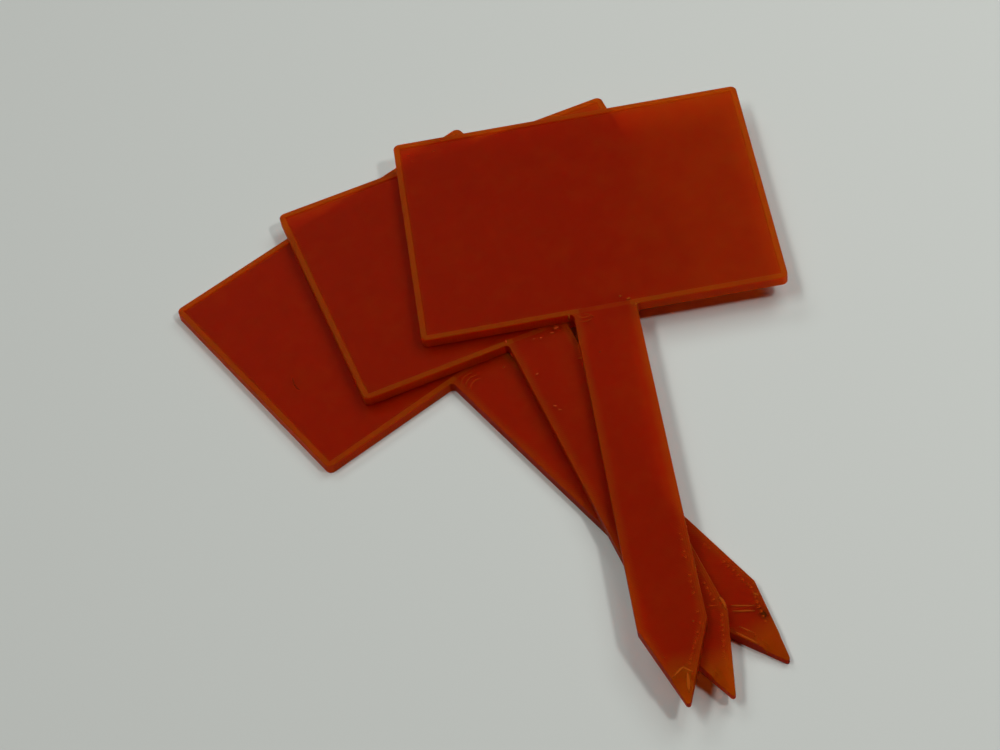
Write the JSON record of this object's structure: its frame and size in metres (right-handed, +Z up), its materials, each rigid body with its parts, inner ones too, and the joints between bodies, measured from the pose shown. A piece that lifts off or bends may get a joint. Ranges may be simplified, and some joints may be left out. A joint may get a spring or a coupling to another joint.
{
  "type": "plant label stake set",
  "caption": "Fan of flat T-shaped plant labels: each has a wide head with a rimmed, recessed writing panel and a pointed stake that pushes into soil.",
  "frame": {"origin": "on the underside of the bottom label, at the middle of the line where its head meets its stake", "axes": "+Y up the bottom label's head, away from its stake; +Z up, square to the flat faces of all the labels; +X to the right seen from above"},
  "size_m": [0.1151, 0.1413, 0.0066],
  "materials": {
    "orange_plastic": "semi-gloss printed plastic with fine print lines, slightly translucent at thin edges"
  },
  "bodies": {
    "bottom_label": {"bottom_label": "orange_plastic"},
    "middle_label": {"middle_label": "orange_plastic"},
    "top_label": {"top_label": "orange_plastic"}
  },
  "joints": [
    {"name": "middle_lift", "type": "slide", "parent": "bottom_label", "child": "middle_label", "axis": [0, 0, 1], "range_m": [0, 0.02]},
    {"name": "top_lift", "type": "slide", "parent": "middle_label", "child": "top_label", "axis": [0, 0, 1], "range_m": [0, 0.02]}
  ]
}
